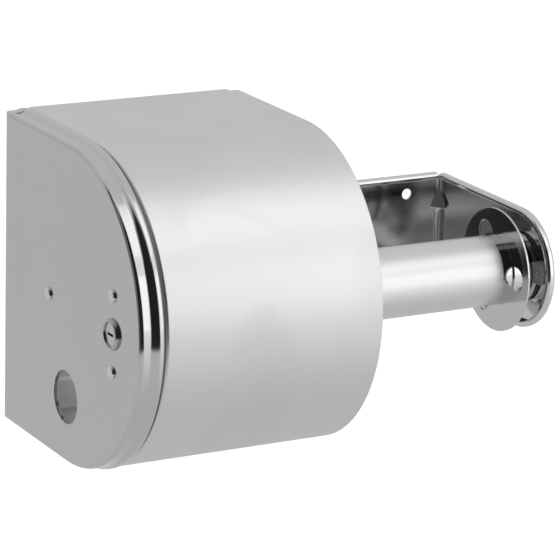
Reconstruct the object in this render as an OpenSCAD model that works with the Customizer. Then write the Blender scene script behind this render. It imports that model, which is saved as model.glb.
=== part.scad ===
// Double roll toilet tissue dispenser for a wall, in stainless steel.
// A U-shaped frame of sheet steel carries a spindle for two rolls. A locked
// cover hides the left roll, and slides off to the left on two rails.
// Millimetres, +Z up, the wall is the plane Y = 0 and the front faces -Y.
// The origin is the middle of the four wall screw holes, level with the spindle.

/* [Wall frame] */
// Outside width over the two arms
frame_w = 259; // [245:1:290]
// Height of the back plate and of the arms
arm_h = 66; // [60:1:72]
// Thickness of the frame's sheet
frame_t = 1.2; // [0.9:0.1:1.5]
// Width of the lip turned in along the back plate's edges
lip_w = 6.5; // [5.5:0.5:8]
// Width of the lip turned in along the arms' edges
arm_lip_w = 5; // [4.8:0.1:6]
// Outer radius of the bend between the sheet and its lip
lip_bend = 2.2; // [1.8:0.1:3]
// Depth of the rim folded down along the lip
rim_h = 3.3; // [3:0.1:4]
// Outer radius of the bend between the lip and its rim
rim_bend = 1.8; // [1.6:0.1:2.4]
// Inner radius of the upright bends between back plate and arms
arm_bend = 3.5; // [2.5:0.5:4.5]
// Height of the pressed gusset in each upright bend
gusset_h = 15; // [10:1:18]
// Reach of the gusset along the back plate and the arm
gusset_w = 7; // [5:0.5:9]

/* [Wall screws] */
// Distance between the screw holes along the wall
screw_dx = 213; // [200:1:220]
// Distance between the screw holes in height
screw_dz = 43; // [36:1:46]
// Diameter of the screw holes
screw_d = 6; // [4:0.5:7]

/* [Cover] */
// Height of the cover
cover_h = 168; // [160:1:180]
// Depth of the cover from the wall
cover_depth = 164; // [160:1:180]
// Distance from the spindle axis to the front of the cover
roll_room = 77; // [72:1:84]
// How far the middle of the cover lies above the spindle
cover_rise = 7; // [4:1:12]
// Thickness of the cover's sheet
cover_t = 1; // [0.8:0.1:1.3]
// Width of the wrapped sheet, from the end cap to the open end
wrap_w = 121.5; // [110:0.5:126]
// Depth of the end cap's drawn edge
cap_w = 14; // [13:0.5:17]
// Distance from the end cap's face to the frame's left arm
cap_gap = 9.5; // [8.5:0.5:11]
// Radius of the wrapped sheet's edge, rolled in behind the end cap
roll_r = 1.6; // [1.4:0.1:2]
// How far the end cap's rear bead stands out past the wrapped sheet
cap_over = 0.7; // [0.1:0.1:1.2]
// Step up from the front band of its edge to the rear bead
bead_step = 1.4; // [0.8:0.1:2]
// Length of the curve that makes this step
rise_w = 5.2; // [4:0.1:6]
// Radius of the bend between the end cap's face and the front band
edge_r = 2.2; // [1.8:0.1:2.6]
// Length of the end cap's skirt inside the wrapped sheet
skirt_w = 8; // [6:1:12]
// Width of the hem folded in at the open end
hem_w = 8; // [5:1:12]
// Width of the flanges turned in along the wall
return_w = 12; // [9:1:14]
// Radius of the cover's rear corner at the wall
rear_r = 5.5; // [3.5:0.5:6]

/* [Rails] */
// Thickness of the rail sheets
rail_t = 1; // [0.8:0.1:1.2]
// Height of the part that is set forward, in front of the cover's flange
joggle_h = 15; // [14:1:18]
// Free gap between a rail and the cover
rail_gap = 0.3; // [0.2:0.1:0.5]

/* [Sight hole] */
// Diameter of the hole in the end cap that shows the hidden roll
sight_d = 28; // [20:1:32]
// Distance of the hole behind the spindle axis
sight_back = 7.5; // [0:0.5:14]
// Distance of the hole below the spindle axis
sight_drop = 41.7; // [38:0.1:46]
// Depth of the collar drawn in round the hole
sight_rim = 2; // [1.5:0.5:3]

/* [Lock] */
// Distance from the front of the left arm to the lock's axis
lock_ahead = 12.4; // [10:0.1:14]
// Height of the lock above the spindle axis
lock_rise = 6.6; // [4:0.1:10]
// Diameter of the lock's head
lock_head_d = 16.2; // [16:0.1:20]
// How far the head stands out
lock_head_h = 1.9; // [1.6:0.1:3.5]
// Radius of the head's rounded rim
bezel_r = 1.4; // [1:0.1:1.5]
// How deep the key plug's face lies in the head
plug_sink = 0.9; // [0.5:0.1:1.2]
// Diameter of the threaded barrel
barrel_d = 13.6; // [13:0.1:15]
// Diameter of the key plug's face
plug_face_d = 12.2; // [11:0.1:12.4]
// Diameter of the key plug
plug_d = 9; // [8.6:0.2:10]
// Width of the key slot
key_w = 6; // [5:0.5:7]
// Height of the key slot
key_t = 1.4; // [1:0.1:1.8]
// Reach of the cam from the lock's axis
cam_l = 19; // [16:0.5:20]
// Width of the cam
cam_w = 11; // [9:0.5:12]
// Thickness of the cam
cam_t = 2; // [1.5:0.1:2.2]
// Thickness of the plate that backs the lock
plate_t = 1.5; // [1:0.1:2]
// Width of that plate
plate_w = 19; // [16:1:20]
// Height of the upper rivet above the lock
rivet_up = 19.6; // [17:0.1:22]
// Depth of the lower rivet below the lock
rivet_down = 19.6; // [17:0.1:24]
// Diameter of the flat rivet heads
rivet_head_d = 6.8; // [6:0.1:8]
// Height of the flat rivet heads
rivet_head_h = 1.2; // [0.9:0.1:1.5]
// Diameter of the rivet shanks
rivet_d = 4; // [3:0.1:4.4]

/* [Locating stud] */
// Distance from the locating stud to the spindle axis, towards the wall
stud_back = 28.8; // [20:0.1:34]
// Height of the stud above the spindle axis
stud_rise = 7.2; // [0:0.1:12]
// Diameter of the stud's nose
stud_nose_d = 5.8; // [4:0.1:6.6]

/* [Spindle] */
// Outside diameter of the tube, inside a 41 mm paper core
tube_d = 38; // [35:0.5:39]
// Wall of the tube
tube_t = 1; // [0.8:0.1:1.2]
// Wall of the end drums
drum_t = 1.2; // [1:0.1:1.5]
// Diameter of the end discs
disc_d = 67; // [60:1:72]
// Thickness of the end discs
disc_t = 1.1; // [0.8:0.1:1.4]
// Distance from an arm's outer face to the face of its disc
disc_in = 18; // [15.5:0.5:20]
// Bare length of drum between the tube and the disc
hub_w = 6.2; // [5:0.1:10]
// End play between a drum and its arm
end_gap = 1.8; // [1.6:0.1:2.2]
// Length of the drum's spigot inside the tube
spigot_w = 12; // [8:1:16]
// Width of the windows pressed out of the discs
window_w = 13; // [10:0.5:14]
// Radius that the windows reach
window_r = 28; // [26:0.5:30]
// Length of the tabs bent out of the windows
tab_l = 7; // [5:0.5:7]

/* [Spindle ends] */
// Diameter of the stub axle and of the sprung plunger
pivot_d = 8; // [7:0.5:9]
// How far the stub axle stands in from the arm
axle_l = 10; // [8:0.5:11]
// Travel of the plunger
plunger_travel = 6; // [5:0.5:7]
// Outside diameter of the plunger's spring
spring_d = 12; // [11:0.5:12.5]
// Wire of the spring
spring_wire = 1; // [0.8:0.1:1.2]
// Number of turns in the spring
spring_turns = 8; // [6:1:9]

/* [Drag blocks] */
// Thickness of the blocks that brake the drums
block_t = 5; // [4.5:0.5:5.5]
// Height of the blocks
block_h = 10.8; // [9:0.1:12]
// Reach of the blocks from the drum towards the arm's edge, as a share of that room
block_share = 0.66; // [0.5:0.01:0.7]
// Radius of the blocks' front corners
block_round = 3; // [1.5:0.5:4]
// Height of the block's middle above the spindle axis
block_rise = 2; // [0:0.5:4]
// Diameter of the blocks' rivets
block_rivet_d = 3; // [2:0.5:3.5]

/* [Fits] */
// Radial clearance of a shaft that turns or slides in a bore
run_fit = 0.06; // [0.03:0.01:0.09]
// Radial clearance of a part pressed or welded into another
seat_fit = 0.03; // [0.02:0.01:0.05]
// Gap between faces that slide or swing past each other
free_gap = 0.3; // [0.2:0.1:0.5]

/* [Hidden] */
$fn = 96;
steps = 10;

// Frame
spindle_y = cover_depth - roll_room;
arm_r = arm_h / 2;
arm_x = frame_w / 2;
arm_in = arm_x - frame_t;
flat_r = arm_r - lip_bend;
corner_r = arm_bend + frame_t;
lip_start = corner_r + 1;

// Cover
cap_x = -arm_x - cap_gap;
wrap_x = cap_x + cap_w;
wrap_end = wrap_x + wrap_w;
cover_r = cover_h / 2;
arc_y = cover_depth - cover_r;
inner_r = cover_r - cover_t;
cap_r = cover_r + cap_over;
skirt_r = cover_r - roll_r - seat_fit;
groove_w = 0.8;
crest_x = cap_w - 3.3;
bead_x = crest_x - rise_w;
rise_a = 2 * atan(bead_step / rise_w);
rise_r = rise_w / sin(rise_a) / 2;
fall_x = cap_w - 2.6;
fall_r = 1.8;
bead_r = cap_r - bead_step;
face_r = bead_r - edge_r;
edge_steps = 9;
bead_steps = 5;
corner_end_r = rear_r - 1.5;
slit_x = 1.8;
slit_l = 6.5;
slit_w = 1;
slit_y = rear_r + 2.5;
relief_d = 2.8;
notch_x = 5;
notch_y = 4;

// Rails
rail_x = wrap_x + 1;
rail_w = wrap_w - 2;
rail_tip = skirt_r - cover_t - 2 * rail_gap;

// Sight hole and stud
sight_y = spindle_y - sight_back;
stud_y = spindle_y - stud_back;

// Lock
lock_y = spindle_y + arm_r + lock_ahead;
barrel_l = cap_gap + frame_t + block_t;
head_bore_t = 1.1;
key_l = 11;
tail_w = 6;
nut_t = 3;
nut_w = barrel_d + 3;
washer_t = 0.8;
screw_head_h = 2;

// Spindle
tube_r = tube_d / 2;
bore_r = tube_r - tube_t;
drum_in = tube_r - drum_t;
drum_end = arm_in - end_gap;
disc_x = arm_x - disc_in;
hub_x = disc_x - hub_w;
spigot_r = bore_r - seat_fit;
collar_r = tube_r + seat_fit + disc_t;

// Spindle ends
pivot_r = pivot_d / 2;
bush_w = 12;
bush_x = drum_end - 0.4 - bush_w;
bush_r = drum_in - seat_fit;
spring_r = spring_d / 2;
chamber_r = spring_r + 1.3;
plunger_collar_t = 2;
plunger_collar_x = bush_x - free_gap - plunger_collar_t;
spring_l = 20;
seat_x = plunger_collar_x - spring_l;
seat_t = 2;
chamber_wall = 2;

// Drag blocks
block_x = arm_in - block_t;
block_reach = tube_r + block_share * (arm_r - tube_r);
block_rivet_y = spindle_y + (tube_r + block_reach) / 2;

// Points of an arc about (cx, cy) from angle a0 to a1
function arc(cx, cy, r, a0, a1, n = steps) =
    [for (i = [0:n]) let (a = a0 + (a1 - a0) * i / n) [cx + r * cos(a), cy + r * sin(a)]];

// A line of points moved sideways by d, to the right of its direction
function side(p, d) = [for (i = [0:len(p) - 1])
    let (a = p[max(i - 1, 0)], b = p[min(i + 1, len(p) - 1)], t = (b - a) / norm(b - a))
    p[i] + d * [t[1], -t[0]]];

function backwards(p) = [for (i = [len(p) - 1:-1:0]) p[i]];

// A cylinder along +X from x0 to x1 about the axis (y, z)
module rod(x0, x1, r, y = -spindle_y, z = 0) {
    translate([x0, y, z]) rotate([0, 90, 0]) cylinder(h = x1 - x0, r = r);
}

// A profile of [radius, x] points turned about the axis (y, z)
module turned(points, y = -spindle_y, z = 0) {
    translate([0, y, z]) rotate([0, 90, 0]) rotate_extrude() polygon(points);
}

// A shape drawn in [y, z] and thickened along +X
module slab(x, t) {
    translate([x, 0, 0]) rotate([90, 0, 90]) linear_extrude(t) children();
}

// The outline of an arm or of the cover: flat at the wall, round at the front
module d_shape(r, y_front_centre, z = 0, y_rear = 0) {
    intersection() {
        union() {
            translate([-y_front_centre, z]) circle(r);
            translate([-y_front_centre, z - r]) square([y_front_centre - y_rear, 2 * r]);
        }
        translate([-y_front_centre - r - 1, z - r - 1])
            square([y_front_centre + r + 1 - y_rear, 2 * r + 2]);
    }
}

// A section of [x, radius] points carried along top, round front and bottom
module d_sweep(section, y_centre, z, y_rear) {
    length = y_centre - y_rear;
    for (s = [0, 1]) translate([0, -y_rear, z]) mirror([0, 0, s])
        rotate([90, 0, 0]) linear_extrude(length) polygon(section);
    translate([0, -y_centre, z]) rotate([0, 90, 0]) rotate([0, 0, 180])
        rotate_extrude(angle = 180) polygon([for (p = section) [p[1], p[0]]]);
}

// A low domed head that stands out towards -X from x
module dome_head(x, d, h, y, z) {
    big = (d * d / 4 + h * h) / (2 * h);
    turned(concat([[0, x]], [for (i = [0:steps])
        let (a = asin(d / 2 / big) * (steps - i) / steps)
        [big * sin(a), x - big * cos(a) + big - h]]), y, z);
}

// A flat head with a rounded rim that stands out towards -X from x
module button_head(x, y, z) {
    rim = 0.7 * rivet_head_h;
    turned(concat([[0, x], [rivet_head_d / 2, x]],
        arc(rivet_head_d / 2 - rim, x - rivet_head_h + rim, rim, 0, -90), [[0, x - rivet_head_h]]), y, z);
}

// Wall frame: one bent sheet with a lip turned in along its edges
// The section of its lip, w wide, with the rim folded down and its end rounded
function lip_section(r, w) = concat(
    [[0, r - lip_bend - 2]],
    arc(lip_bend, r - lip_bend, lip_bend, 180, 90),
    arc(w - rim_bend, r - rim_bend, rim_bend, 90, 0),
    arc(w - frame_t / 2, r - rim_h + frame_t / 2, frame_t / 2, 0, -180),
    arc(w - rim_bend, r - rim_bend, rim_bend - frame_t, 0, 90),
    arc(lip_bend, r - lip_bend, lip_bend - frame_t, 90, 180),
    [[frame_t, r - lip_bend - 2]]);

module frame_plan() {
    difference() {
        union() {
            translate([-arm_x + corner_r, -corner_r]) square([frame_w - 2 * corner_r, corner_r]);
            for (s = [-1, 1]) translate([s * (arm_x - corner_r), -corner_r]) circle(corner_r);
            translate([-arm_x, -spindle_y]) square([frame_w, spindle_y - corner_r]);
        }
        translate([-arm_in + arm_bend, -frame_t - arm_bend])
            square([2 * (arm_in - arm_bend), arm_bend]);
        for (s = [-1, 1]) translate([s * (arm_in - arm_bend), -corner_r]) circle(arm_bend);
        translate([-arm_in, -spindle_y - 1]) square([2 * arm_in, spindle_y + 1 - corner_r]);
    }
}

// A pressed gusset in the inner corner of the right-hand bend, point upwards
module gusset() {
    middle = (arm_bend + frame_t / 2) / sqrt(2) - arm_bend;
    root = [arm_in + middle, -frame_t + middle];
    top = flat_r - 7;
    wide = top - gusset_h * 0.75;
    polyhedron(
        points = [[root[0], root[1], top], [arm_in - gusset_w, -frame_t / 2, wide],
            [arm_in + frame_t / 2, -frame_t - gusset_w, wide], [root[0], root[1], top - gusset_h]],
        faces = [[0, 2, 1], [3, 1, 2], [0, 1, 3], [0, 3, 2]]);
}

module wall_frame() {
    color([0.42, 0.42, 0.43]) difference() {
        union() {
            translate([0, 0, -flat_r]) linear_extrude(2 * flat_r) frame_plan();
            for (s = [0, 1]) mirror([s, 0, 0]) {
                translate([-arm_x, 0, 0]) {
                    slab(0, frame_t) intersection() {
                        d_shape(flat_r, spindle_y);
                        translate([-spindle_y - arm_r, -arm_r]) square([arm_r + 1, arm_h]);
                    }
                    d_sweep(lip_section(arm_r, arm_lip_w), spindle_y, 0, lip_start);
                }
                for (t = [0, 1]) mirror([0, 0, t]) gusset();
            }
            for (t = [0, 1]) mirror([0, 0, t])
                translate([-arm_x + lip_start, 0, 0]) rotate([90, 0, 90])
                    linear_extrude(frame_w - 2 * lip_start)
                        polygon([for (p = lip_section(arm_r, lip_w)) [-p[0], p[1]]]);
        }
        for (x = [-1, 1], z = [-1, 1])
            translate([x * screw_dx / 2, 1, z * screw_dz / 2]) rotate([90, 0, 0])
                cylinder(h = frame_t + 2, d = screw_d);
        rod(arm_in - 1, arm_x + 1, pivot_r + seat_fit);
        rod(-arm_x - 1, -arm_in + 1, pivot_r + run_fit);
        rod(-arm_x - 1, -arm_in + 1, stud_nose_d / 2 + free_gap, -stud_y, stud_rise);
        for (s = [0, 1]) mirror([s, 0, 0])
            rod(arm_in - 1, arm_x + 1, block_rivet_d / 2 + seat_fit, -block_rivet_y, block_rise);
    }
}

// Rails that the cover slides on, welded to the frame's lips
module rail(tip) {
    step = tip - joggle_h;
    back = cover_t + rail_gap;
    foot = lip_w - rim_bend;
    slab(rail_x, rail_w) polygon([
        [-foot, arm_r], [-rail_t, arm_r], [0, arm_r + rail_t / 2],
        [0, step], [-back, step + 1.5], [-back, tip], [-back - rail_t, tip],
        [-back - rail_t, step + 1.5], [-rail_t, step], [-rail_t, arm_r + rail_t],
        [-foot, arm_r + rail_t]]);
}

module upper_rail() {
    color([0.6, 0.6, 0.61]) rail(cover_rise + rail_tip);
}

module lower_rail() {
    color([0.6, 0.6, 0.61]) mirror([0, 0, 1]) rail(rail_tip - cover_rise);
}

// Stub axle riveted into the right arm
module stub_axle() {
    color([0.7, 0.7, 0.72]) {
        rod(arm_in - axle_l, arm_x, pivot_r);
        mirror([1, 0, 0]) dome_head(-arm_x, pivot_d + 6, 1.2, -spindle_y, 0);
    }
}

// Blocks that rub on the drums, with their rivets
module drag_block() {
    slab(block_x, block_t) difference() {
        translate([-spindle_y - block_reach, block_rise - block_h / 2]) {
            translate([block_round, 0]) square([block_reach - block_round, block_h]);
            translate([0, block_round]) square([block_round, block_h - 2 * block_round]);
            for (z = [block_round, block_h - block_round])
                translate([block_round, z]) circle(block_round);
        }
        translate([-spindle_y, 0]) circle(tube_r + free_gap);
        translate([-block_rivet_y, block_rise]) circle(block_rivet_d / 2 + seat_fit);
    }
}

module right_drag_block() {
    color([0.55, 0.55, 0.55]) drag_block();
}

module left_drag_block() {
    color([0.55, 0.55, 0.55]) mirror([1, 0, 0]) drag_block();
}

module drag_rivets() {
    color([0.7, 0.7, 0.72]) for (s = [0, 1]) mirror([s, 0, 0]) {
        rod(block_x, arm_x, block_rivet_d / 2, -block_rivet_y, block_rise);
        mirror([1, 0, 0]) dome_head(-arm_x, block_rivet_d * 2, 0.8, -block_rivet_y, block_rise);
    }
}

// Wrapped sheet of the cover, with its flanges along the wall and its rolled edge
function roll_section() = concat(
    arc(roll_r, cover_r - roll_r, roll_r, 180, 90),
    [[roll_r + 0.1, cover_r], [roll_r + 0.1, inner_r]],
    arc(roll_r, cover_r - roll_r, roll_r - cover_t, 90, 180));

module wrap_outline() {
    difference() {
        d_shape(cover_r, arc_y, cover_rise);
        d_shape(inner_r, arc_y, cover_rise, -1);
    }
    for (s = [-1, 1]) translate([-cover_t, cover_rise + s * (cover_r - return_w / 2) - return_w / 2])
        square([cover_t, return_w]);
}

module hood_wrap() {
    color([0.78, 0.78, 0.79]) difference() {
        union() {
            slab(wrap_x + roll_r, wrap_w - roll_r) wrap_outline();
            translate([wrap_x, 0, 0]) d_sweep(roll_section(), arc_y, cover_rise, 0);
            slab(wrap_end - hem_w, hem_w) difference() {
                d_shape(inner_r + 0.1, arc_y, cover_rise, notch_y);
                d_shape(inner_r - cover_t, arc_y, cover_rise, notch_y - 1);
            }
        }
        for (s = [0, 1]) translate([0, 0, cover_rise]) mirror([0, 0, s])
            translate([wrap_end - notch_x, -notch_y, cover_r - return_w - 1])
                cube([notch_x + 1, notch_y + 1, return_w + 2]);
    }
}

// End cap: a drawn pan whose edge is a flat band and, a step higher, a round bead
function cap_curve() = concat(
    [[0, face_r - 2], [0, face_r]],
    arc(edge_r, face_r, edge_r, 172, 92, edge_steps),
    arc(bead_x, bead_r + rise_r, rise_r, 270, 270 + rise_a, bead_steps),
    arc(crest_x, cap_r - rise_r, rise_r, 90 + rise_a, 90, bead_steps));

function cap_edge() = concat(cap_curve(), arc(fall_x, cap_r - fall_r, fall_r, 90, 25, bead_steps));

// The same curve, t inside the skin
function inner_curve(t) = side(cap_curve(), t);

function cap_section() = concat(
    cap_edge(),
    [[cap_w - groove_w, skirt_r - groove_w], [cap_w, skirt_r - groove_w], [cap_w, skirt_r],
        [cap_w + skirt_w, skirt_r], [cap_w + skirt_w, skirt_r - cover_t],
        [cap_w - groove_w - cover_t, skirt_r - cover_t - groove_w]],
    backwards(inner_curve(cover_t)));

// The upper half of the pan's rear end, t inside its skin, as long as x_end and y_end:
// where the edge's profile, the bend at the wall and the rounded top end meet
module corner_form(t, x_end, y_end) {
    edge = t == 0 ? cap_edge() : concat(inner_curve(t), [[x_end, cap_r - t]]);
    intersection() {
        rotate([90, 0, 0]) linear_extrude(y_end) polygon(concat([[t, 0]], edge, [[x_end, 0]]));
        linear_extrude(cap_r) union() {
            translate([rear_r, -rear_r]) circle(rear_r - t);
            translate([rear_r, -rear_r]) square([x_end - rear_r, rear_r - t]);
            translate([t, -2 * rear_r]) square([x_end - t, rear_r]);
        }
        slab(0, x_end) polygon(concat([[-y_end, 0], [-y_end, cap_r - t]],
            arc(-corner_end_r, cap_r - corner_end_r, corner_end_r - t, 90, 0), [[-t, 0]]));
    }
}

// The pan's rear end, with the skirt carried on to where the rounded end begins
module cap_corner() {
    flat = rear_r - corner_end_r;
    for (s = [0, 1]) translate([cap_x, 0, cover_rise]) mirror([0, 0, s]) {
        difference() {
            corner_form(0, cap_w - groove_w, rear_r);
            corner_form(cover_t, cap_w, rear_r + 1);
        }
        intersection() {
            rotate([90, 0, 0]) linear_extrude(rear_r) polygon(cap_section());
            translate([rear_r, -rear_r, 0]) cube([cap_w + skirt_w, flat, cap_r]);
        }
    }
}

module end_cap() {
    color([0.66, 0.66, 0.67]) difference() {
        union() {
            translate([cap_x, 0, 0]) {
                d_sweep(cap_section(), arc_y, cover_rise, rear_r);
                slab(0, cover_t) d_shape(face_r, arc_y, cover_rise, rear_r);
            }
            cap_corner();
            rod(cap_x, cap_x + sight_rim, sight_d / 2 + cover_t, -sight_y, -sight_drop);
        }
        rod(cap_x - 1, cap_x + sight_rim + 1, sight_d / 2, -sight_y, -sight_drop);
        rod(cap_x - 1, cap_x + cover_t + 1, barrel_d / 2 + seat_fit, -lock_y, lock_rise);
        for (z = [rivet_up, -rivet_down])
            rod(cap_x - 1, cap_x + cover_t + 1, rivet_d / 2 + seat_fit, -lock_y, lock_rise + z);
        rod(cap_x - 1, cap_x + cover_t + 1, rivet_d / 2 + seat_fit, -stud_y, stud_rise);
        translate([cap_x + cap_gap - 1, -rear_r - 1, -arm_r - 1.5])
            cube([cap_w, rear_r + 2, arm_h + 3]);
        for (s = [0, 1]) translate([0, 0, cover_rise]) mirror([0, 0, s]) {
            translate([cap_x + slit_x, -slit_y - slit_w / 2, cap_r - 6]) cube([slit_l, slit_w, 12]);
            translate([cap_x + slit_x + slit_l / 2, -slit_y, cap_r - 6]) cylinder(h = 12, d = relief_d);
        }
    }
}

// Plate behind the lock, and the rivets that hold it to the end cap
module lock_plate() {
    low = lock_rise - rivet_down - rivet_head_d;
    high = lock_rise + rivet_up + rivet_head_d;
    color([0.6, 0.6, 0.61]) slab(cap_x + cover_t, plate_t) difference() {
        translate([-lock_y - plate_w / 2, low]) square([plate_w, high - low]);
        translate([-lock_y, lock_rise]) circle(barrel_d / 2 + seat_fit);
        for (z = [rivet_up, -rivet_down])
            translate([-lock_y, lock_rise + z]) circle(rivet_d / 2 + seat_fit);
    }
}

module plate_rivets() {
    inside = cap_x + cover_t + plate_t;
    color([0.75, 0.75, 0.76]) for (z = [rivet_up, -rivet_down]) {
        button_head(cap_x, -lock_y, lock_rise + z);
        rod(cap_x, inside + 1, rivet_d / 2, -lock_y, lock_rise + z);
        rod(inside, inside + 1, rivet_d / 2 + 1.2, -lock_y, lock_rise + z);
    }
}

// Stud that carries the closed cover in a hole of the left arm
module locating_stud() {
    shoulder = cap_x + cap_gap - free_gap;
    color([0.75, 0.75, 0.76]) {
        button_head(cap_x, -stud_y, stud_rise);
        rod(cap_x, cap_x + cover_t, rivet_d / 2, -stud_y, stud_rise);
        rod(cap_x + cover_t, shoulder, stud_nose_d / 2 + 1.5, -stud_y, stud_rise);
        rod(shoulder, cap_x + cap_gap + frame_t + 1.5, stud_nose_d / 2, -stud_y, stud_rise);
    }
}

// Cam lock: barrel, nut, key plug, cam, washer and screw
module lock_barrel() {
    r = lock_head_d / 2;
    face_r_in = plug_face_d / 2 + run_fit;
    plug_in = plug_d / 2 + run_fit;
    front = cap_x - lock_head_h;
    floor_x = front + plug_sink + head_bore_t;
    color([0.6, 0.6, 0.6]) turned(concat(
        [[plug_in, floor_x], [face_r_in, floor_x], [face_r_in, front + 0.2], [face_r_in + 0.2, front]],
        [for (p = arc(0, 0, bezel_r, 180, 90)) [r - bezel_r + p[1], front + bezel_r + p[0]]],
        [[r, cap_x], [barrel_d / 2, cap_x], [barrel_d / 2, cap_x + barrel_l], [plug_in, cap_x + barrel_l]]),
        -lock_y, lock_rise);
}

module lock_nut() {
    inside = cap_x + cover_t + plate_t;
    color([0.65, 0.65, 0.66]) difference() {
        translate([inside, -lock_y, lock_rise]) rotate([0, 90, 0])
            cylinder(h = nut_t, d = nut_w / cos(30), $fn = 6);
        rod(inside - 1, inside + nut_t + 1, barrel_d / 2 + seat_fit, -lock_y, lock_rise);
    }
}

module lock_plug() {
    front = cap_x - lock_head_h + plug_sink;
    rear = cap_x + barrel_l;
    cam_end = rear + free_gap + cam_t;
    color([0.7, 0.7, 0.7]) difference() {
        union() {
            rod(front, front + head_bore_t - 0.1, plug_face_d / 2, -lock_y, lock_rise);
            rod(front, rear + free_gap, plug_d / 2, -lock_y, lock_rise);
            translate([rear, -lock_y - tail_w / 2, lock_rise - tail_w / 2])
                cube([cam_end - rear, tail_w, tail_w]);
        }
        translate([front - 1, -lock_y - key_w / 2, lock_rise - key_t / 2]) cube([key_l, key_w, key_t]);
        rod(cam_end - 6, cam_end + 1, 1.5 + seat_fit, -lock_y, lock_rise);
    }
}

module lock_cam() {
    x = cap_x + barrel_l + free_gap;
    hole = tail_w + 2 * seat_fit;
    color([0.6, 0.6, 0.62]) slab(x, cam_t) difference() {
        union() {
            translate([-lock_y, lock_rise]) circle(cam_w / 2);
            translate([-lock_y - cam_w / 2, lock_rise - cam_l + cam_w / 2])
                square([cam_w, cam_l - cam_w / 2]);
            translate([-lock_y, lock_rise - cam_l + cam_w / 2]) circle(cam_w / 2);
        }
        translate([-lock_y - hole / 2, lock_rise - hole / 2]) square([hole, hole]);
    }
}

module cam_washer() {
    x = cap_x + barrel_l + free_gap + cam_t;
    color([0.7, 0.7, 0.72]) difference() {
        rod(x, x + washer_t, 5, -lock_y, lock_rise);
        rod(x - 1, x + washer_t + 1, 1.6, -lock_y, lock_rise);
    }
}

module cam_screw() {
    x = cap_x + barrel_l + free_gap + cam_t;
    color([0.75, 0.75, 0.76]) difference() {
        union() {
            rod(x - 5, x + washer_t, 1.5, -lock_y, lock_rise);
            rod(x + washer_t, x + washer_t + screw_head_h, 3.2, -lock_y, lock_rise);
        }
        translate([x + washer_t + screw_head_h - 0.9, -lock_y - 4, lock_rise - 0.4]) cube([2, 8, 0.8]);
    }
}

// Spindle: tube, drums, discs and bushes
module spindle_tube() {
    color([0.82, 0.82, 0.83]) difference() {
        rod(-hub_x, hub_x, tube_r);
        rod(-hub_x - 1, hub_x + 1, bore_r);
    }
}

module drum() {
    turned([[spigot_r - drum_t, hub_x - spigot_w], [spigot_r, hub_x - spigot_w], [spigot_r, hub_x],
        [tube_r, hub_x], [tube_r, drum_end], [drum_in, drum_end], [drum_in, hub_x + drum_t],
        [spigot_r - drum_t, hub_x + drum_t]]);
}

module right_drum() {
    color([0.5, 0.5, 0.51]) drum();
}

module left_drum() {
    color([0.5, 0.5, 0.51]) mirror([1, 0, 0]) drum();
}

// A disc with three windows, whose tabs are bent out along the drum
module disc() {
    slab(disc_x, disc_t) translate([-spindle_y, 0]) difference() {
        circle(disc_d / 2);
        circle(tube_r + seat_fit);
        for (a = [180, 60, 300]) rotate(a) difference() {
            union() {
                translate([tube_r, -window_w / 2]) square([window_r - window_w / 2 - tube_r, window_w]);
                translate([window_r - window_w / 2, 0]) circle(window_w / 2);
            }
            circle(collar_r);
        }
    }
    slab(disc_x, disc_t + tab_l) translate([-spindle_y, 0]) intersection() {
        difference() {
            circle(collar_r);
            circle(tube_r + seat_fit);
        }
        for (a = [180, 60, 300]) rotate(a)
            translate([tube_r / 2, -window_w / 2 + 1]) square([tube_r, window_w - 2]);
    }
}

module right_disc() {
    color([0.6, 0.6, 0.61]) disc();
}

module left_disc() {
    color([0.6, 0.6, 0.61]) mirror([1, 0, 0]) disc();
}

module right_bush() {
    color([0.9, 0.9, 0.88]) difference() {
        rod(bush_x, bush_x + bush_w, bush_r);
        rod(bush_x - 1, bush_x + bush_w + 1, pivot_r + run_fit);
    }
}

// The left bush also houses the sprung plunger
module left_bush() {
    color([0.9, 0.9, 0.88]) mirror([1, 0, 0]) difference() {
        union() {
            rod(bush_x, bush_x + bush_w, bush_r);
            rod(seat_x - seat_t, bush_x + 1, chamber_r + chamber_wall);
        }
        rod(seat_x - seat_t - 1, bush_x, chamber_r);
        rod(bush_x - 1, bush_x + bush_w + 1, pivot_r + run_fit);
    }
}

module spring_seat() {
    color([0.7, 0.7, 0.72]) mirror([1, 0, 0])
        rod(seat_x - seat_t, seat_x, chamber_r - seat_fit);
}

// Rings of a wire wound round the X axis
function wire_ring(a, sides) = let (
    r = spring_r - spring_wire / 2,
    pitch = (spring_l - spring_wire - 2 * free_gap) / spring_turns,
    x = seat_x + free_gap + spring_wire / 2 + pitch * a / 360)
    [for (k = [0:sides - 1]) let (b = 360 * k / sides, q = r + spring_wire / 2 * cos(b))
        [x + spring_wire / 2 * sin(b), q * cos(a), q * sin(a)]];

module plunger_spring() {
    sides = 6;
    rings = spring_turns * 16;
    points = [for (i = [0:rings]) each wire_ring(360 * spring_turns * i / rings, sides)];
    sleeves = [for (i = [0:rings - 1], k = [0:sides - 1]) let (
        a = i * sides + k,
        b = i * sides + (k + 1) % sides)
        each [[a, b, b + sides], [a, b + sides, a + sides]]];
    first = [for (k = [1:sides - 2]) [0, k + 1, k]];
    last = [for (k = [1:sides - 2]) [rings * sides, rings * sides + k, rings * sides + k + 1]];
    color([0.6, 0.6, 0.62]) mirror([1, 0, 0]) translate([0, -spindle_y, 0])
        polyhedron(points = points, faces = concat(sleeves, first, last));
}

module plunger() {
    tail_r = spring_r - spring_wire - 1;
    color([0.7, 0.7, 0.72]) mirror([1, 0, 0]) {
        rod(plunger_collar_x, arm_x, pivot_r);
        rod(plunger_collar_x, plunger_collar_x + plunger_collar_t, chamber_r - run_fit);
        rod(seat_x + plunger_travel + 1, plunger_collar_x, tail_r);
    }
}

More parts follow.
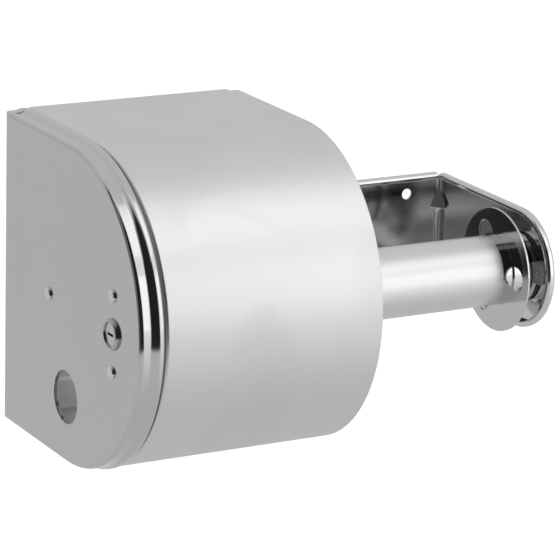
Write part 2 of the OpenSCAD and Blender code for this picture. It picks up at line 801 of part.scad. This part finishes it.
wall_frame();
upper_rail();
lower_rail();
stub_axle();
right_drag_block();
left_drag_block();
drag_rivets();
hood_wrap();
end_cap();
lock_plate();
plate_rivets();
locating_stud();
lock_barrel();
lock_nut();
lock_plug();
lock_cam();
cam_washer();
cam_screw();
spindle_tube();
right_drum();
left_drum();
right_disc();
left_disc();
right_bush();
left_bush();
spring_seat();
plunger_spring();
plunger();
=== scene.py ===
"""A double roll toilet tissue dispenser in stainless steel, dressed for the studio."""
import math

import bpy
from mathutils import Matrix, Vector


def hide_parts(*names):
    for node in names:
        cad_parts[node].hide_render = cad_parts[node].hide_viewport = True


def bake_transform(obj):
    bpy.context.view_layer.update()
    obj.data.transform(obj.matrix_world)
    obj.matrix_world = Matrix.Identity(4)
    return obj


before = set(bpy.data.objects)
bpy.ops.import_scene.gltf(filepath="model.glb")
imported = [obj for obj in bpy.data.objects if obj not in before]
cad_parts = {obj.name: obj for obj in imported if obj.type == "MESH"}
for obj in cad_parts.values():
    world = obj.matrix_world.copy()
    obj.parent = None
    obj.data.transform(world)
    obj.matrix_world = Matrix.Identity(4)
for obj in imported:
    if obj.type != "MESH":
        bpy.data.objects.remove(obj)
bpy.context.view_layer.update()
scene = bpy.context.scene
scene.view_settings.view_transform = "Standard"


# Camera
# It stands to the left of the dispenser and a little above it, a long way off with a
# long lens. Its place and lens come from the outlines of the photograph.
cam_place = Vector((-0.817458, -1.519487, 0.482752))
cam_right = Vector((0.8772946, -0.4790559, 0.0293188))
cam_up = Vector((0.1072016, 0.2551292, 0.9609458))
cam_back = cam_right.cross(cam_up)
camera_data = bpy.data.cameras.new("camera")
camera_data.sensor_width = 36
camera_data.lens = 211.3
camera_data.shift_x = -0.00318
camera_data.shift_y = -0.01525
camera_data.clip_start = 0.05
camera_data.clip_end = 60
camera = bpy.data.objects.new("camera", camera_data)
turn = Matrix((cam_right, cam_up, cam_back)).transposed()
camera.matrix_world = Matrix.Translation(cam_place) @ turn.to_4x4()
scene.collection.objects.link(camera)
scene.camera = camera


# Wall frame
# One sheet of stainless steel, bent into a U with a lip turned in along its edges, and
# polished bright. It hangs on the wall by four screws and carries everything else.
def add(nodes, kind, **settings):
    """A shader node with its settings, or with values on the sockets of those names."""
    made = nodes.new(kind)
    for key, value in settings.items():
        if hasattr(made, key):
            setattr(made, key, value)
        else:
            made.inputs[key.replace("_", " ")].default_value = value
    return made


def group(name, inputs, outputs):
    """An empty shader node group with named sockets, and the nodes for its two ends."""
    tree = bpy.data.node_groups.new(name, "ShaderNodeTree")
    for label, kind, value in inputs:
        made = tree.interface.new_socket(name=label, in_out="INPUT", socket_type="NodeSocket" + kind)
        if value is not None:
            made.default_value = value
    for label, kind in outputs:
        tree.interface.new_socket(name=label, in_out="OUTPUT", socket_type="NodeSocket" + kind)
    return tree, tree.nodes.new("NodeGroupInput"), tree.nodes.new("NodeGroupOutput")


def polishing_lines():
    """Fine lines along the direction in which the surface was polished."""
    tree, given, out = group(
        "polishing lines",
        [("Position", "Vector", None), ("Lines", "Vector", (60, 2500, 2500)), ("Depth", "Float", 0.2)],
        [("Height", "Float"), ("Tone", "Float")])
    stretch = add(tree.nodes, "ShaderNodeVectorMath", operation="MULTIPLY")
    noise = add(tree.nodes, "ShaderNodeTexNoise", Scale=1.0, Detail=3.0, Roughness=0.65)
    middle_tone = 0.5
    centred = add(tree.nodes, "ShaderNodeMath", operation="SUBTRACT")
    centred.inputs[1].default_value = middle_tone
    deep = add(tree.nodes, "ShaderNodeMath", operation="MULTIPLY")
    tree.links.new(given.outputs["Position"], stretch.inputs[0])
    tree.links.new(given.outputs["Lines"], stretch.inputs[1])
    tree.links.new(stretch.outputs[0], noise.inputs["Vector"])
    tree.links.new(noise.outputs[0], centred.inputs[0])
    tree.links.new(centred.outputs[0], deep.inputs[0])
    tree.links.new(given.outputs["Depth"], deep.inputs[1])
    tree.links.new(deep.outputs[0], out.inputs["Height"])
    tree.links.new(noise.outputs[0], out.inputs["Tone"])
    return tree


def hand_marks():
    """Patches where hands and cloths have dulled the polish."""
    tree, given, out = group(
        "hand marks",
        [("Position", "Vector", None), ("Spread", "Float", 30.0), ("Amount", "Float", 0.3)],
        [("Mask", "Float")])
    clean_below = 0.48
    marked_above = 0.68
    broad = add(tree.nodes, "ShaderNodeTexNoise", Detail=2.0, Roughness=0.5, Distortion=0.6)
    fine = add(tree.nodes, "ShaderNodeTexNoise", Scale=900.0, Detail=3.0)
    edge = add(tree.nodes, "ShaderNodeMapRange", interpolation_type="SMOOTHSTEP")
    edge.inputs["From Min"].default_value = clean_below
    edge.inputs["From Max"].default_value = marked_above
    both = add(tree.nodes, "ShaderNodeMath", operation="MULTIPLY")
    scaled = add(tree.nodes, "ShaderNodeMath", operation="MULTIPLY")
    tree.links.new(given.outputs["Position"], broad.inputs["Vector"])
    tree.links.new(given.outputs["Position"], fine.inputs["Vector"])
    tree.links.new(given.outputs["Spread"], broad.inputs["Scale"])
    tree.links.new(broad.outputs[0], edge.inputs["Value"])
    tree.links.new(edge.outputs[0], both.inputs[0])
    tree.links.new(fine.outputs[0], both.inputs[1])
    tree.links.new(both.outputs[0], scaled.inputs[0])
    tree.links.new(given.outputs["Amount"], scaled.inputs[1])
    tree.links.new(scaled.outputs[0], out.inputs["Mask"])
    return tree


def rubbed_and_highlit_edges():
    """Edges that are slightly rounded, with a mask where they are rubbed bright and carry a painted
    highlight.
    """
    tree, given, out = group(
        "rubbed and highlit edges",
        [("Radius", "Float", 0.0004), ("Amount", "Float", 0.6)],
        [("Mask", "Float"), ("Normal", "Vector")])
    flat_surface = 0.99
    full_edge = 0.82
    round_edge = add(tree.nodes, "ShaderNodeBevel", samples=6)
    true = add(tree.nodes, "ShaderNodeNewGeometry")
    dot = add(tree.nodes, "ShaderNodeVectorMath", operation="DOT_PRODUCT")
    wear_and_highlight = add(tree.nodes, "ShaderNodeMapRange", interpolation_type="SMOOTHSTEP")
    wear_and_highlight.inputs["From Min"].default_value = flat_surface
    wear_and_highlight.inputs["From Max"].default_value = full_edge
    scaled = add(tree.nodes, "ShaderNodeMath", operation="MULTIPLY")
    tree.links.new(given.outputs["Radius"], round_edge.inputs["Radius"])
    tree.links.new(round_edge.outputs[0], dot.inputs[0])
    tree.links.new(true.outputs["Normal"], dot.inputs[1])
    tree.links.new(dot.outputs["Value"], wear_and_highlight.inputs["Value"])
    tree.links.new(wear_and_highlight.outputs[0], scaled.inputs[0])
    tree.links.new(given.outputs["Amount"], scaled.inputs[1])
    tree.links.new(scaled.outputs[0], out.inputs["Mask"])
    tree.links.new(round_edge.outputs[0], out.inputs["Normal"])
    return tree


line_group = polishing_lines()
mark_group = hand_marks()
edge_group = rubbed_and_highlit_edges()


def use_group(tree, made, **values):
    """A group placed in a material, with its own values."""
    placed = tree.nodes.new("ShaderNodeGroup")
    placed.node_tree = made
    for key, value in values.items():
        placed.inputs[key].default_value = value
    return placed


def mixed(tree, share, one, other):
    """A colour between one and the other. Either is a plain colour or a node's output."""
    made = add(tree.nodes, "ShaderNodeMix", data_type="RGBA")
    factor, first, second, result = made.inputs[0], made.inputs[6], made.inputs[7], made.outputs[2]
    tree.links.new(share, factor)
    for socket, value in ((first, one), (second, other)):
        if isinstance(value, tuple):
            socket.default_value = (*value, 1)
        else:
            tree.links.new(value, socket)
    return result


def shaded(colour, share, brightest=1.0):
    """The colour made darker or lighter by a share."""
    return tuple(min(part * share, brightest) for part in colour)


def metal(name, colour, rough, lines, depth, marks=0.3, spread=30.0, wear_and_highlight=0.6, lines_rough=0.08):
    """Steel or plated metal: a base tone, lines from polishing, hand marks, and edges made lighter by wear
    and a painted highlight.
    """
    dark_line = 0.96
    light_line = 1.04
    marked_tone = 0.82
    # The edges' lighter colour: partly rubbed wear, partly a painted highlight
    rubbed_and_highlight_tone = 1.25
    brightest = 0.95
    marked_rough = 0.35
    edge_radius = 0.0004
    line_relief = 0.00004
    material = bpy.data.materials.new(name)
    material.use_nodes = True
    tree = material.node_tree
    tree.nodes.clear()
    shader = add(tree.nodes, "ShaderNodeBsdfPrincipled", Metallic=1.0)
    out = tree.nodes.new("ShaderNodeOutputMaterial")
    place = tree.nodes.new("ShaderNodeTexCoord")
    line = use_group(tree, line_group, Lines=lines, Depth=depth)
    mark = use_group(tree, mark_group, Spread=spread, Amount=marks)
    edge = use_group(tree, edge_group, Radius=edge_radius, Amount=wear_and_highlight)
    for placed in (line, mark):
        tree.links.new(place.outputs["Object"], placed.inputs["Position"])

    tone = mixed(tree, line.outputs["Tone"], shaded(colour, dark_line), shaded(colour, light_line))
    dull = mixed(tree, mark.outputs["Mask"], tone, shaded(colour, marked_tone))
    # Lighter colour at the edges, for rubbed wear and a painted highlight
    bright = mixed(tree, edge.outputs["Mask"], dull, shaded(colour, rubbed_and_highlight_tone, brightest))
    tree.links.new(bright, shader.inputs["Base Color"])

    rough_line = add(tree.nodes, "ShaderNodeMath", operation="MULTIPLY_ADD")
    rough_line.inputs[1].default_value = lines_rough
    rough_line.inputs[2].default_value = rough - lines_rough / 2
    tree.links.new(line.outputs["Tone"], rough_line.inputs[0])
    rough_mark = add(tree.nodes, "ShaderNodeMath", operation="MULTIPLY_ADD", use_clamp=True)
    rough_mark.inputs[1].default_value = marked_rough
    tree.links.new(mark.outputs["Mask"], rough_mark.inputs[0])
    tree.links.new(rough_line.outputs[0], rough_mark.inputs[2])
    tree.links.new(rough_mark.outputs[0], shader.inputs["Roughness"])

    relief = add(tree.nodes, "ShaderNodeBump", Strength=1.0, Distance=line_relief)
    tree.links.new(line.outputs["Height"], relief.inputs["Height"])
    tree.links.new(edge.outputs["Normal"], relief.inputs["Normal"])
    tree.links.new(relief.outputs[0], shader.inputs["Normal"])
    tree.links.new(shader.outputs[0], out.inputs["Surface"])
    return material


def dress(material, *names):
    """Puts the material on CAD nodes."""
    for name in names:
        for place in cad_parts[name].material_slots:
            place.material = material


frame_steel = metal("frame steel", (0.66, 0.66, 0.66), rough=0.10, lines=(60, 1800, 1800), depth=0.15,
                    marks=0.25, wear_and_highlight=0.5)
dress(frame_steel, "wall_frame")


# Rails
# Plain strips of stainless steel with a mill finish, bent from sheet and welded to the
# frame's lips. The cover slides on them.
rail_steel = metal("mill steel", (0.68, 0.68, 0.69), rough=0.34, lines=(50, 900, 900), depth=0.4,
                   marks=0.5, wear_and_highlight=0.4)
dress(rail_steel, "upper_rail", "lower_rail")


# Cover
# A wrapped sheet with a satin finish, and a drawn cap that closes its left side. The cap
# has a finer finish, so that its rolled edge shows clear bright and dark stripes.
cover_steel = metal("satin cover steel", (0.72, 0.72, 0.73), rough=0.38, lines=(90, 2600, 2600), depth=0.3,
                    marks=0.22, spread=16.0, wear_and_highlight=0.4, lines_rough=0.06)
dress(cover_steel, "hood_wrap")
cap_steel = metal("drawn cap steel", (0.56, 0.56, 0.57), rough=0.10, lines=(2600, 90, 2600), depth=0.05,
                  marks=0.08, spread=18.0, wear_and_highlight=0.3, lines_rough=0.03)
dress(cap_steel, "end_cap")


# Lock
# A small cam lock: a bright head with a satin key plug, held in the cap by a plated nut.
# A plate of the rails' steel backs it, and its cam catches behind the left arm's lip.
dress(rail_steel, "lock_plate")
lock_metal = metal("bright lock metal", (0.46, 0.46, 0.47), rough=0.2, lines=(1500, 1500, 1500), depth=0.1)
dress(lock_metal, "lock_barrel")
plug_metal = metal("satin plug metal", (0.62, 0.62, 0.62), rough=0.26, lines=(3000, 200, 3000), depth=0.3)
dress(plug_metal, "lock_plug")
plated_steel = metal("zinc plated steel", (0.56, 0.57, 0.60), rough=0.28, lines=(700, 700, 700), depth=0.2)
dress(plated_steel, "lock_nut", "lock_cam", "cam_washer", "cam_screw")


# Rivets and stud
# Turned and pressed in bright steel, with low domed heads. The rivets hold the lock's
# plate and the drag blocks, and the stud plugs into the left arm.
rivet_steel = metal("bright rivet steel", (0.68, 0.68, 0.69), rough=0.16, lines=(1200, 1200, 1200),
                    depth=0.1)
dress(rivet_steel, "plate_rivets", "locating_stud", "drag_rivets")


# Spindle
# A satin stainless tube between a pair of polished drums, with a polished disc pressed
# on each. The tube fits in the paper core, and the discs keep the rolls off the arms.
tube_steel = metal("satin tube steel", (0.71, 0.71, 0.72), rough=0.34, lines=(2600, 120, 120), depth=0.25,
                   marks=0.15)
dress(tube_steel, "spindle_tube")
drum_steel = metal("polished drum steel", (0.58, 0.58, 0.59), rough=0.05, lines=(2200, 80, 80),
                   depth=0.08, marks=0.15)
dress(drum_steel, "right_drum", "left_drum")
disc_steel = metal("polished disc steel", (0.60, 0.60, 0.61), rough=0.08, lines=(80, 1800, 1800), depth=0.1,
                   marks=0.2)
dress(disc_steel, "right_disc", "left_disc")


# Spindle ends
# Turned steel pivots in moulded bushes. The right bush turns on a stub axle riveted to
# the arm. The left bush houses a plunger and its spring, so that the spindle comes out.
turned_steel = metal("turned steel", (0.62, 0.62, 0.63), rough=0.2, lines=(3200, 60, 60), depth=0.3)
dress(turned_steel, "stub_axle", "plunger", "spring_seat")


def moulded(name, colour, rough):
    """Moulded plastic with a fine spark-eroded skin, darker where it is handled."""
    handled_tone = 0.8
    rough_range = 0.12
    edge_radius = 0.0004
    skin_relief = 0.00005
    material = bpy.data.materials.new(name)
    material.use_nodes = True
    tree = material.node_tree
    tree.nodes.clear()
    shader = tree.nodes.new("ShaderNodeBsdfPrincipled")
    out = tree.nodes.new("ShaderNodeOutputMaterial")
    place = tree.nodes.new("ShaderNodeTexCoord")
    skin = use_group(tree, line_group, Lines=(1800, 1800, 1800), Depth=1.0)
    mark = use_group(tree, mark_group, Spread=60.0, Amount=0.5)
    edge = use_group(tree, edge_group, Radius=edge_radius, Amount=0.3)
    for placed in (skin, mark):
        tree.links.new(place.outputs["Object"], placed.inputs["Position"])
    tone = mixed(tree, mark.outputs["Mask"], colour, shaded(colour, handled_tone))
    tree.links.new(tone, shader.inputs["Base Color"])
    rough_skin = add(tree.nodes, "ShaderNodeMath", operation="MULTIPLY_ADD")
    rough_skin.inputs[1].default_value = rough_range
    rough_skin.inputs[2].default_value = rough - rough_range / 2
    tree.links.new(skin.outputs["Tone"], rough_skin.inputs[0])
    tree.links.new(rough_skin.outputs[0], shader.inputs["Roughness"])
    relief = add(tree.nodes, "ShaderNodeBump", Strength=1.0, Distance=skin_relief)
    tree.links.new(skin.outputs["Height"], relief.inputs["Height"])
    tree.links.new(edge.outputs["Normal"], relief.inputs["Normal"])
    tree.links.new(relief.outputs[0], shader.inputs["Normal"])
    tree.links.new(shader.outputs[0], out.inputs["Surface"])
    return material


bush_plastic = moulded("bush nylon", (0.80, 0.80, 0.76), rough=0.45)
dress(bush_plastic, "right_bush", "left_bush")


# Plunger spring
# Drawn wire between the seat in the bush and the plunger's collar. One end stays with the
# spindle and the other goes with the plunger, so that it gets shorter as it is pressed.
spring_steel = metal("drawn spring wire", (0.5, 0.5, 0.52), rough=0.24, lines=(900, 900, 900), depth=0.3)


def pressed_spring():
    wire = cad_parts["plunger_spring"]
    mesh = wire.data.copy()
    piece = bpy.data.objects.new("pressed_spring", mesh)
    scene.collection.objects.link(piece)
    mesh.materials.clear()
    mesh.materials.append(spring_steel)
    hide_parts("plunger_spring")
    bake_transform(piece)


pressed_spring()


# Drag blocks
# Small grey moulded blocks, riveted to the arms. They rub on the drums, so that a roll
# doesn't spin on.
drag_plastic = moulded("drag block plastic", (0.36, 0.36, 0.36), rough=0.5)
dress(drag_plastic, "right_drag_block", "left_drag_block")


# Floor
# A pale floor well below the dispenser, which hangs on a wall. It stays near white, and
# keeps the soft shadow. Polished metal sees the studio's own glow in it.
def studio_glow():
    """How bright the studio looks in a direction: pale, with a dark side at the front left."""
    tree, given, out = group("studio glow", [("Direction", "Vector", None)], [("Level", "Float")])
    turned = add(tree.nodes, "ShaderNodeVectorMath", operation="MULTIPLY")
    turned.inputs[1].default_value = (-1, -1, 1)
    away = add(tree.nodes, "ShaderNodeVectorMath", operation="NORMALIZE")
    split = tree.nodes.new("ShaderNodeSeparateXYZ")
    to_left = add(tree.nodes, "ShaderNodeMath", operation="ARCTAN2")
    tree.links.new(given.outputs["Direction"], turned.inputs[0])
    tree.links.new(turned.outputs[0], away.inputs[0])
    tree.links.new(away.outputs[0], split.inputs[0])
    tree.links.new(split.outputs["X"], to_left.inputs[0])
    tree.links.new(split.outputs["Y"], to_left.inputs[1])

    def ramp(source, start, end, low, high):
        made = add(tree.nodes, "ShaderNodeMapRange", interpolation_type="SMOOTHSTEP")
        made.inputs["From Min"].default_value = start
        made.inputs["From Max"].default_value = end
        made.inputs["To Min"].default_value = low
        made.inputs["To Max"].default_value = high
        tree.links.new(source, made.inputs["Value"])
        return made.outputs[0]

    def by_height(start, end, low, high):
        """From straight down at -1 to straight up at 1."""
        return ramp(split.outputs["Z"], start, end, low, high)

    def by_angle(start, end, low, high):
        """Degrees from straight in front towards the left."""
        return ramp(to_left.outputs[0], math.radians(start), math.radians(end), low, high)

    def combine(kind, one, other):
        made = add(tree.nodes, "ShaderNodeMath", operation=kind)
        for socket, value in zip(made.inputs, (one, other)):
            if isinstance(value, (int, float)):
                socket.default_value = value
            else:
                tree.links.new(value, socket)
        return made.outputs[0]

    # The room, which gets lighter from the floor up
    floor_part = (-0.9, -0.3)
    middle_part = (-0.28, 0.15)
    ceiling_part = (0.1, 0.9)
    floor_level = 0.66
    middle_level = 0.70
    middle_more = 0.13
    ceiling_more = 0.12
    level = combine("ADD", by_height(*floor_part, floor_level, middle_level),
                    by_height(*middle_part, 0, middle_more))
    level = combine("ADD", level, by_height(*ceiling_part, 0, ceiling_more))

    # A bright front right, which lights up the hood's front and the tube
    bright_starts = (-95, -45)
    bright_ends = (-20, -8)
    bright_part = (-0.85, 0.15)
    bright_more = 0.60
    front = combine("MULTIPLY", by_angle(*bright_starts, 0, 1), by_angle(*bright_ends, 1, 0))
    level = combine("ADD", level, combine("MULTIPLY", front, by_height(*bright_part, 0, bright_more)))

    # A slightly darker rear left, which the cap's face mirrors
    rear_starts = (110, 140)
    rear_part = (-0.45, 0.10)
    rear_low = -0.01
    rear_high = -0.06
    rear = combine("MULTIPLY", by_angle(*rear_starts, 0, 1), by_height(*rear_part, rear_low, rear_high))
    level = combine("ADD", level, rear)

    # A dark side, less dark straight to the left, which draws the stripes on the cap's edge
    dark_starts = (-20, -10)
    dark_ends = (104, 128)
    dark_bottom = (-0.31, -0.28)
    dark_top = (0.88, 0.98)
    dark_share = 0.97
    gap_starts = (74, 82)
    gap_ends = (98, 106)
    gap_share = 0.30
    side = combine("MULTIPLY", by_angle(*dark_starts, 0, 1), by_angle(*dark_ends, 1, 0))
    gap = combine("MULTIPLY", by_angle(*gap_starts, 0, gap_share), by_angle(*gap_ends, 1, 0))
    side = combine("MULTIPLY", side, combine("SUBTRACT", 1, gap))
    band = combine("MULTIPLY", by_height(*dark_bottom, 0, 1), by_height(*dark_top, 1, 0))
    dark = combine("MULTIPLY", combine("MULTIPLY", side, band), dark_share)
    tree.links.new(combine("MULTIPLY", level, combine("SUBTRACT", 1, dark)), out.inputs["Level"])
    return tree


glow_group = studio_glow()
dispenser_middle = (0, -0.08, 0)


def mirror_ray(tree):
    """1 for what metal or glass shows, 0 for the rest."""
    ray = tree.nodes.new("ShaderNodeLightPath")
    seen = add(tree.nodes, "ShaderNodeMath", operation="MAXIMUM")
    tree.links.new(ray.outputs["Is Glossy Ray"], seen.inputs[0])
    tree.links.new(ray.outputs["Is Transmission Ray"], seen.inputs[1])
    return ray, seen


def floor_piece():
    half = 14.0
    height = -0.62
    camera_glow = 0.75
    colour = (0.82, 0.82, 0.82, 1)
    mesh = bpy.data.meshes.new("studio_floor")
    mesh.from_pydata([(-half, -half, height), (half, -half, height), (half, half, height),
                      (-half, half, height)], [], [(0, 1, 2, 3)])
    piece = bpy.data.objects.new("studio_floor", mesh)
    scene.collection.objects.link(piece)
    material = bpy.data.materials.new("pale floor")
    material.use_nodes = True
    tree = material.node_tree
    tree.nodes.clear()
    matt = add(tree.nodes, "ShaderNodeBsdfDiffuse")
    matt.inputs["Color"].default_value = colour
    ray, seen = mirror_ray(tree)
    level = add(tree.nodes, "ShaderNodeMath", operation="MULTIPLY")
    level.inputs[1].default_value = camera_glow
    lift = tree.nodes.new("ShaderNodeEmission")
    lit = tree.nodes.new("ShaderNodeAddShader")
    tree.links.new(ray.outputs["Is Camera Ray"], level.inputs[0])
    tree.links.new(level.outputs[0], lift.inputs["Strength"])
    tree.links.new(matt.outputs[0], lit.inputs[0])
    tree.links.new(lift.outputs[0], lit.inputs[1])

    place = tree.nodes.new("ShaderNodeNewGeometry")
    seen_from = add(tree.nodes, "ShaderNodeVectorMath", operation="SUBTRACT")
    seen_from.inputs[1].default_value = dispenser_middle
    studio = use_group(tree, glow_group)
    mirrored = tree.nodes.new("ShaderNodeEmission")
    tree.links.new(place.outputs["Position"], seen_from.inputs[0])
    tree.links.new(seen_from.outputs[0], studio.inputs["Direction"])
    tree.links.new(studio.outputs["Level"], mirrored.inputs["Strength"])
    both = tree.nodes.new("ShaderNodeMixShader")
    out = tree.nodes.new("ShaderNodeOutputMaterial")
    tree.links.new(seen.outputs[0], both.inputs[0])
    tree.links.new(lit.outputs[0], both.inputs[1])
    tree.links.new(mirrored.outputs[0], both.inputs[2])
    tree.links.new(both.outputs[0], out.inputs["Surface"])
    mesh.materials.append(material)


floor_piece()


# Studio
# White all round for the camera. Polished metal sees a pale room with a dark side at the
# front left. Soft lamps stand above, in front and to the left.
def studio_world():
    soft_level = 0.55
    white_level = 1.0
    world = bpy.data.worlds.new("studio")
    scene.world = world
    world.use_nodes = True
    tree = world.node_tree
    tree.nodes.clear()
    place = tree.nodes.new("ShaderNodeTexCoord")
    studio = use_group(tree, glow_group)
    tree.links.new(place.outputs["Generated"], studio.inputs["Direction"])
    mirrored = tree.nodes.new("ShaderNodeBackground")
    tree.links.new(studio.outputs["Level"], mirrored.inputs["Strength"])
    plain = tree.nodes.new("ShaderNodeBackground")
    plain.inputs["Strength"].default_value = soft_level
    white = tree.nodes.new("ShaderNodeBackground")
    white.inputs["Strength"].default_value = white_level
    ray, seen = mirror_ray(tree)
    first = tree.nodes.new("ShaderNodeMixShader")
    tree.links.new(seen.outputs[0], first.inputs[0])
    tree.links.new(plain.outputs[0], first.inputs[1])
    tree.links.new(mirrored.outputs[0], first.inputs[2])
    second = tree.nodes.new("ShaderNodeMixShader")
    tree.links.new(ray.outputs["Is Camera Ray"], second.inputs[0])
    tree.links.new(first.outputs[0], second.inputs[1])
    tree.links.new(white.outputs[0], second.inputs[2])
    out = tree.nodes.new("ShaderNodeOutputWorld")
    tree.links.new(second.outputs[0], out.inputs["Surface"])


def lamp(name, place, width, height, watts):
    """A soft rectangular lamp that points at the dispenser."""
    data = bpy.data.lights.new(name, "AREA")
    data.shape = "RECTANGLE"
    data.size = width
    data.size_y = height
    data.energy = watts
    piece = bpy.data.objects.new(name, data)
    piece.location = place
    away = Vector(dispenser_middle) - Vector(place)
    piece.rotation_euler = away.to_track_quat("-Z", "Y").to_euler()
    scene.collection.objects.link(piece)


studio_world()
lamp("top_lamp", (0.5, -1.0, 1.7), width=1.6, height=1.2, watts=2)
lamp("front_lamp", (1.3, -1.9, 0.5), width=1.4, height=1.4, watts=3)
lamp("left_lamp", (-2.0, -0.2, 0.6), width=1.2, height=1.4, watts=0.3)
